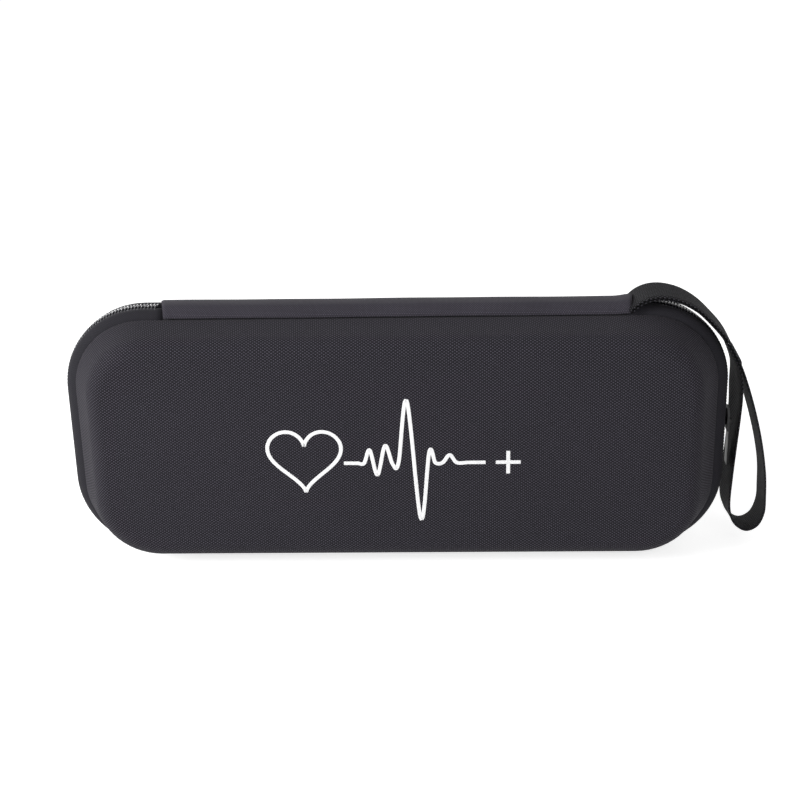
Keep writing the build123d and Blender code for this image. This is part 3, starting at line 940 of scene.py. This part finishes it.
# The net over the front half's cavity, its bound edge and the elastic that holds its mouth.
def makePocket():
    mouth = pocket["mouth"]
    offset = case["foamInner"] + pocket["foamGlue"] + case["liningThickness"] + pocket["inset"]
    insetX, insetZ, radius = wallInsets(pocket["depth"], offset)
    halfX, top = case["length"] / 2 - insetX, case["height"] - insetZ
    rows, columns = pocket["grid"]
    zz, share = gridOver((mouth, top, rows), (-1, 1, columns))
    intoCorner = np.clip(zz - (top - radius), 0, radius)
    xx = (halfX - radius + np.sqrt(radius ** 2 - intoCorner ** 2)) * share
    up = (zz - mouth) / (top - mouth)
    slack = pocket["slack"] * np.clip(np.sin(math.pi * up), 0, 1) ** 0.8 * (1 - share ** 6)
    phase = xx / pocket["rippleWave"] + pocket["rippleTurn"] * up
    yy = pocket["ripple"] * np.sin(phase) - slack - pocket["depth"]
    points = np.stack([xx, yy, zz], axis=-1).reshape(-1, 3)
    net = makeMesh("pocket_net", points, gridFaces(*xx.shape), "front_half",
                   uv=points[:, [0, 2]] * mm)
    setMaterial(net, makeNet())
    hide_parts("mesh_pocket_panel")
    width, length = 2 * halfX * mm, (top - mouth) * mm
    cut = width * length - 2 * (1 - math.pi / 4) * (radius * mm) ** 2

    stations = loopStations(perCorner=20, perLong=80, perShort=40)
    d, o, w, half = (pocket[k] for k in ("tapeDepth", "tapeOffset", "tapeWidth", "tapeHalf"))
    ring = evenStations(stations, d, o, pocket["tapeStep"], low=mouth + pocket["tapeAboveMouth"])
    # a flat tape with its corners rounded off
    section = [(d - half, o + 0.4), (d - half, o + w - 0.5), (d - half + 0.25, o + w),
               (d + half - 0.1, o + w), (d + half, o + w - 0.3), (d + half, o + 0.2),
               (d + half - 0.2, o), (d - half + 0.25, o)]
    sweepOnWall("pocket_edge_tape", section, ring, False, 1, "front", "pocket_piping")
    seam = evenStations(stations, d - half, o + w / 2, stitchPitch,
                        low=mouth + pocket["stitchAboveMouth"])
    stitchRing("pocket_stitches", seam, d - half - pocket["stitchSink"], o + w / 2, 1, "front",
               inwards=False)

    depth, width = pocket["elasticDepth"], pocket["elasticWidth"]
    reach = case["length"] / 2 - wallInsets(depth, offset)[0] - pocket["elasticShort"]
    rows, columns = pocket["elasticGrid"]
    xx, zz = gridOver((-reach, reach, rows), (mouth, mouth + width, columns))
    gather = np.sin(xx * pocket["puckerWave"]) * np.sin(math.pi * (zz - mouth) / width)
    yy = pocket["pucker"] * gather - depth
    ribbonPiece("mouth_elastic", (xx, yy, zz), width / 2, pocket["elasticThickness"],
                "front_half", "elastic", elasticCloth, "pocket_edge_elastic")
    print("pocket done, net %.0f x %.0f mm, %.0f cm2" % (2 * halfX, top - mouth, cut * 1e4))


bands = {
    "x": 55.0, "width": 25.0, "depth": 9.6, "thickness": 1.1, "end": 9.9, "bow": 0.5, "rib": 0.05,
    "patchDepth": 8.35, "patchWidth": 27.0, "patchLength": 9.0, "patchThickness": 1.1,
    "patchEnd": 9.6, "patchDome": 0.25, "seamDepth": 7.5, "seamInset": 2.0, "seamShare": 0.75,
    "ribWave": 2.4, "grid": (90, 16), "patchGrid": (8, 20),
}


# A box and a cross of stitches in a rectangle: starts and ends as (x, z), an even number along each
# line.
def boxStitches(left, right, bottom, top):
    a, b, c, d = (np.array(p) for p in ((left, bottom), (right, bottom), (right, top), (left, top)))
    starts, ends = [], []
    for begin, finish in ((a, b), (b, c), (c, d), (d, a), (a, c), (d, b)):
        count = max(2, int(np.linalg.norm(finish - begin) // stitchPitch))
        step = (finish - begin) / count
        start = begin + step * np.arange(count)[:, None]
        starts.append(start)
        ends.append(start + step * bands["seamShare"])
    return starts, ends


# One patch: a low pillow over x and z, its dome flat in the middle and steep at the rim.
def patchShape(centreX, low):
    width, length = bands["patchWidth"], bands["patchLength"]
    rows, columns = bands["patchGrid"]
    up, across = gridOver((-1, 1, rows), (-1, 1, columns))
    dome = bands["patchDome"] * (1 - across ** 8) * (1 - up ** 6)
    centre = [centreX + across * width / 2, bands["patchDepth"] - dome, low + (up + 1) / 2 * length]
    return ribbon(np.stack(centre, axis=-1), width / 2, bands["patchThickness"])[:3]


# Two elastic bands across the rear half, bowed a little off the lining, and the patches over their
# ends.
def makeBands():
    shapes, maps, starts, ends = [], [], [], []
    rows, columns = bands["grid"]
    for name, centreX in (("left", -bands["x"]), ("right", bands["x"])):
        half = bands["width"] / 2
        up, xx = gridOver((0, 1, rows), (centreX - half, centreX + half, columns))
        zz = bands["end"] + up * (case["height"] - 2 * bands["end"])
        bow = bands["bow"] * np.clip(np.sin(math.pi * up), 0, 1) ** 0.7
        yy = bands["depth"] - bow + bands["rib"] * np.sin(zz * bands["ribWave"])
        ribbonPiece("elastic_band_" + name, (xx, yy, zz), half, bands["thickness"],
                    "rear_half", "elastic", elasticCloth, "holding_band_" + name)
        inset, half = bands["seamInset"], bands["patchWidth"] / 2
        for low in (bands["patchEnd"], case["height"] - bands["patchEnd"] - bands["patchLength"]):
            points, faces, uv = patchShape(centreX, low)
            shapes.append((points, faces))
            maps.append(uv)
            begins, finishes = boxStitches(centreX - half + inset, centreX + half - inset,
                                           low + inset, low + bands["patchLength"] - inset)
            starts += begins
            ends += finishes
    makePiece("band_patches", *joined(shapes), "rear_half", "elastic", bindingCloth,
              "band_end_patches", uv=np.concatenate(maps))
    # (x, z) of each stitch set on the patches' front
    starts, ends = (np.insert(np.concatenate(line), 1, bands["seamDepth"], axis=1)
                    for line in (starts, ends))
    makeStitches("patch_stitches", starts, ends, np.tile([0.0, -1.0, 0.0], (len(starts), 1)),
                 "rear_half", darkThread)
    print("bands done")


barTack = {
    "knot": 9.35, "length": 5.0, "rows": 26, "reach": 8.6, "radius": 0.3, "overlap": 0.2,
    "tabX": (90.2, 100.6, 24), "tabY": (0.5, 4.5, 10), "tabZ": 112.3, "tabThickness": 0.9,
    "tabHalfWidth": 2.0, "tabRipple": 0.05, "tabWave": 1.3,
}


# Satin stitches side by side across the strap where its plies part, each leaning a little the other
# way.
def makeBarTack():
    centre = strapCentre()
    knots = len(strap["route"]) + strap["neck"] - 1
    row = int(barTack["knot"] / knots * (strap["steps"] - 1))
    step = np.linalg.norm(centre[row + 1, strap["across"] // 2] - centre[row, strap["across"] // 2])
    further = row + int(round(barTack["length"] / step))
    at = np.linspace(-1, 1, barTack["rows"]) * barTack["reach"]
    y = centre[row, :, 1]
    first, second = (np.stack([np.interp(at + shift, y, centre[i, :, k]) for k in range(3)], axis=1)
                     for i, shift in ((row, 0.0), (further, barTack["overlap"])))
    normal = np.cross(second - first, np.array([0.0, 1.0, 0.0]))
    normal /= np.linalg.norm(normal, axis=1, keepdims=True)
    normal *= np.sign(normal[:, :1])
    lift = normal * strap["ply"] / 2
    makeStitches("bar_tack_stitches", first + lift, second + lift, normal, "wrist_strap",
                 blackThread, "strap_bar_tack", radius=barTack["radius"])
    xx, yy = gridOver(barTack["tabX"], barTack["tabY"])
    ripple = np.sin(xx * barTack["tabWave"]) * np.cos(yy)
    zz = barTack["tabZ"] + barTack["tabRipple"] * ripple
    ribbonPiece("strap_sewn_end", (xx, yy, zz), barTack["tabHalfWidth"],
                barTack["tabThickness"], "rear_half", "webbing", webbingCloth, "strap_anchor_tab")
    print("bar tack done")


# Brushed knit: slanted loops in columns, painted shade in the hollows between them, with a fuzzy
# nap and slow drift of tone.
def makeKnit(name, settings):
    material, tree, shader = newMaterial(name, settings["roughness"], settings["specular"],
                                         settings["sheen"])
    u, v, uv = clothMap(tree)
    nap = noise(tree, uv, settings["napScale"], 4.0)
    drift = noise(tree, uv, settings["driftScale"], 3.0)
    wave = math.pi / settings["pitch"]
    column = (u * wave).sin().abs()
    height = column * ((v + column * settings["slant"]) * wave).sin().abs()
    # the loops' hollows take a painted shade, the dark colour; the nap adds real tone
    base = mixColour(tree, height * 0.7 + nap * 0.3, settings["dark"], settings["light"])
    feed(tree, shader, {"Base Color": withDrift(tree, base, drift, settings["low"],
                                                settings["high"], start=0.3, stop=0.7),
                        "Normal": bump(tree, height * 0.6 + nap, settings["relief"])})
    return material


netCloth = {
    "pitchU": 2.4, "pitchV": 2.08, "hole": 0.86, "fuzz": 0.3, "relief": 0.15,
    "dark": linear(26, 25, 29), "light": linear(52, 50, 56),
}


# Knitted net: rows of round holes, every other row half a hole on, cut by the alpha.
def makeNet():
    material, tree, shader = newMaterial("pocket_net", roughness=0.7, specular=0.25, sheen=0.05)
    u, v, uv = clothMap(tree)
    row = v / netCloth["pitchV"]
    shift = (row.floor() * 0.5).fract()
    du = ((u / netCloth["pitchU"] + shift).fract() - 0.5) * netCloth["pitchU"]
    dv = (row.fract() - 0.5) * netCloth["pitchV"]
    away = (du * du + dv * dv) ** 0.5
    fibre = noise(tree, uv, fibreScale, 2.0)
    relief = away + fibre * netCloth["fuzz"]
    feed(tree, shader, {"Base Color": mixColour(tree, fibre, netCloth["dark"], netCloth["light"]),
                        "Alpha": away.over(netCloth["hole"]),
                        "Normal": bump(tree, relief, netCloth["relief"])})
    return material


# Elastic: ribs along its length crossed by short covering threads, with painted shade in the
# grooves between them.
def makeRibbed(name, settings):
    material, tree, shader = newMaterial(name, roughness=0.75, specular=0.2, sheen=0.03)
    u, v, uv = clothMap(tree)
    ribs = (v * (math.pi / settings["rib"])).sin().abs()
    picks = ((u + ribs * settings["slant"]) * (math.pi / settings["pick"])).sin().abs()
    height = ribs * (0.5 + 0.5 * picks)
    fibre = noise(tree, uv, settings["fibreScale"], 2.0)
    # the grooves between ribs and threads take a painted shade, the dark colour; the fibre noise
    # adds real tone
    feed(tree, shader, {"Base Color": mixColour(tree, height * 0.8 + fibre * 0.2, settings["dark"],
                                                settings["light"]),
                        "Normal": bump(tree, height, settings["relief"])})
    return material


twist = {"pitch": 0.35, "dark": 0.45}


# Twisted thread: slanting bands of light and dark, a sine of the sum of x, y and z.
def makeThread(name, colour):
    material, tree, shader = newMaterial(name, roughness=0.6, specular=0.3)
    x = addNode(tree, "ShaderNodeSeparateXYZ", None, [ownPlace(tree)])
    slant = (x + x.sibling("Y") + x.sibling("Z")) * (math.pi / (twist["pitch"] * mm))
    dark = shade(colour, twist["dark"])
    feed(tree, shader, {"Base Color": mixColour(tree, slant.sin() * 0.5 + 0.5, dark, colour)})
    return material


# Closed-cell foam: fine pores over a slow mottle, which share the light between them.
def makeFoam(settings):
    material, tree, shader = newMaterial("shell_foam", roughness=0.9, specular=0.2)
    place = ownPlace(tree)
    pores = noise(tree, place, settings["poreScale"], 3.0)
    mottle = noise(tree, place, settings["mottleScale"], 2.0)
    light = pores * settings["pores"] + mottle * (1 - settings["pores"])
    feed(tree, shader, {"Base Color": mixColour(tree, light, settings["dark"], settings["light"]),
                        "Normal": bump(tree, pores, settings["relief"])})
    return material


paintedMetal = {"peelScale": 1400.0, "wearScale": 160.0, "gloss": 0.28, "dull": 0.25,
                "relief": 0.04}


# Painted die casting: a fine orange peel, duller and lighter where hands have worn it.
def makeSliderMetal(name, light, dark):
    material, tree, shader = newMaterial(name, roughness=0.45, specular=0.4, metallic=0.15)
    place = ownPlace(tree)
    peel = noise(tree, place, paintedMetal["peelScale"], 2.0)
    wear = noise(tree, place, paintedMetal["wearScale"], 4.0)
    feed(tree, shader, {"Base Color": mixColour(tree, wear, dark, light),
                        "Roughness": wear * paintedMetal["dull"] + paintedMetal["gloss"],
                        "Normal": bump(tree, peel, paintedMetal["relief"])})
    return material


liningCloth = makeKnit("lining_cloth", {
    "pitch": 0.9, "slant": 0.5, "roughness": 0.95, "specular": 0.2, "sheen": 0.15,
    "napScale": 1400.0, "driftScale": 22.0, "low": 0.88, "high": 1.1, "relief": 0.12,
    "dark": linear(40, 40, 45), "light": linear(74, 73, 80)})
# the binding's warp colour is a painted highlight on its crossings and its gap colour a painted
# shade between the threads
bindingCloth = makeWovenFabric("binding_cloth", {
    "pitchU": 0.45, "pitchV": 0.8, "wander": 0.08,
    "roughness": 0.8, "sheen": 0.03, "specular": 0.2,
    "warpHighlight": linear(44, 43, 49), "weft": linear(30, 29, 34), "gap": linear(14, 14, 16),
    "driftScale": 30.0, "low": 0.92, "high": 1.06, "fibreScale": 1600.0, "fibre": 0.2,
    "relief": 0.1})
elasticCloth = makeRibbed("elastic_cloth", {
    "rib": 1.1, "pick": 0.5, "slant": 0.3, "fibreScale": 1500.0, "relief": 0.2,
    "dark": linear(16, 16, 19), "light": linear(50, 49, 55)})
darkThread = makeThread("dark_thread", linear(58, 57, 64))
blackThread = makeThread("black_thread", linear(40, 39, 44))
foam = makeFoam({
    "poreScale": 2600.0, "mottleScale": 90.0, "pores": 0.6, "relief": 0.1,
    "dark": linear(36, 36, 39), "light": linear(66, 65, 69)})

# the hard pieces that keep their own solids, with their finishes
keptSolids = {
    "front_shell_core": foam, "rear_shell_core": foam,
    "zip_slider_body": makeSliderMetal("slider_metal", linear(30, 30, 32), linear(14, 14, 16)),
    # the pull's finish is the slider's black paint made darker still: painted shade from the strap
    # over it
    "zip_pull_tab": makeSliderMetal("shaded_pull_metal", linear(24, 24, 26), linear(11, 11, 12)),
}

makeShells()
makePrint()
makeTapes()
makeTeeth()
makeHinge()
makeStrap()
makeLinings()
makeHingeLining()
makePocket()
makeBands()
makeBarTack()
for name, finish in keptSolids.items():
    setMaterial(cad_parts[name], finish)
print("hard pieces done")

view = {
    "distance": 680.0, "elevation": 22.8, "azimuth": 2.07, "roll": -1.3, "lens": 70.74,
    "sensor": 36.0, "target": (1.68, 0.0, 69.3),
}

lamps = {
    "key": {"place": (-0.9, -0.5, 0.55), "aim": (0, 0, 0.06), "size": 0.5, "power": 12.5},
    "fill": {"place": (0.3, -1.15, 0.6), "aim": (0, 0, 0.06), "size": 0.7, "power": 4.6},
    "rim": {"place": (-0.62, 1.3, 0.2), "aim": (-0.1, 0, 0.08), "size": 0.3, "power": 3.0},
}

stage = {"floorHalf": 3000.0, "floorGrey": 0.8, "floorGlow": 0.72, "worldLight": 0.35}


# Puts an object's data into the scene at a place, looking at a point, turned about its own axis by
# the roll.
def placeLooking(name, data, place, aim, roll=0.0):
    obj = bpy.data.objects.new(name, data)
    bpy.context.scene.collection.objects.link(obj)
    facing = (Vector(aim) - Vector(place)).to_track_quat("-Z", "Y").to_matrix().to_4x4()
    rolled = Matrix.Rotation(math.radians(roll), 4, "Z")
    obj.matrix_world = Matrix.Translation(place) @ facing @ rolled
    return obj


# Looks at the target from its distance, azimuth and elevation.
def makeCamera():
    up, bearing = math.radians(view["elevation"]), math.radians(view["azimuth"])
    way = Vector((math.sin(bearing) * math.cos(up), -math.cos(bearing) * math.cos(up),
                  math.sin(up)))
    target = Vector(view["target"]) * mm
    data = bpy.data.cameras.new("camera")
    data.lens, data.sensor_width, data.sensor_fit = view["lens"], view["sensor"], "HORIZONTAL"
    data.clip_start = 0.01
    place = target + way * view["distance"] * mm
    bpy.context.scene.camera = placeLooking("camera", data, place, target, view["roll"])


# Square lamps, each at its place and facing its aim.
def makeLamps():
    for name, lamp in lamps.items():
        data = bpy.data.lights.new(name, "AREA")
        data.shape, data.size, data.energy = "SQUARE", lamp["size"], lamp["power"]
        placeLooking(name, data, lamp["place"], lamp["aim"])


# 1 for a ray from the camera and for one that shows the surroundings in gloss or glass, or else 0.
def seenDirectly(tree):
    camera = addNode(tree, "ShaderNodeLightPath", output="Is Camera Ray")
    return camera.most(camera.sibling("Is Glossy Ray")).most(camera.sibling("Is Transmission Ray"))


# A pale floor that only the camera, gloss and glass see as white, and a pale world.
def makeStage():
    half = stage["floorHalf"]
    corners = [[-half, -half, 0], [half, -half, 0], [half, half, 0], [-half, half, 0]]
    floor = makeMesh("floor", corners, [[0, 1, 2, 3]], None, smooth=False)
    material = bpy.data.materials.new("floor_white")
    world = bpy.data.worlds.new("studio")
    for owner in (material, world):
        owner.use_nodes = True
        owner.node_tree.nodes.clear()
    tree = material.node_tree
    white = addNode(tree, "ShaderNodeEmission", None,
                    {"Color": (1, 1, 1, 1), "Strength": stage["floorGlow"]})
    matt = addNode(tree, "ShaderNodeBsdfDiffuse", None, {"Color": (stage["floorGrey"],) * 3 + (1,)})
    both = addNode(tree, "ShaderNodeAddShader", None, [white, matt])
    surface = addNode(tree, "ShaderNodeMixShader", None, [seenDirectly(tree), matt, both])
    addNode(tree, "ShaderNodeOutputMaterial", None, {"Surface": surface})
    setMaterial(floor, material)
    bpy.context.scene.world = world
    tree = world.node_tree
    strength = seenDirectly(tree) * (1 - stage["worldLight"]) + stage["worldLight"]
    back = addNode(tree, "ShaderNodeBackground", None,
                   {"Color": (1, 1, 1, 1), "Strength": strength})
    addNode(tree, "ShaderNodeOutputWorld", None, {"Surface": back})


makeCamera()
makeLamps()
makeStage()
bpy.context.scene.view_settings.view_transform = "Standard"
print("camera and light done")
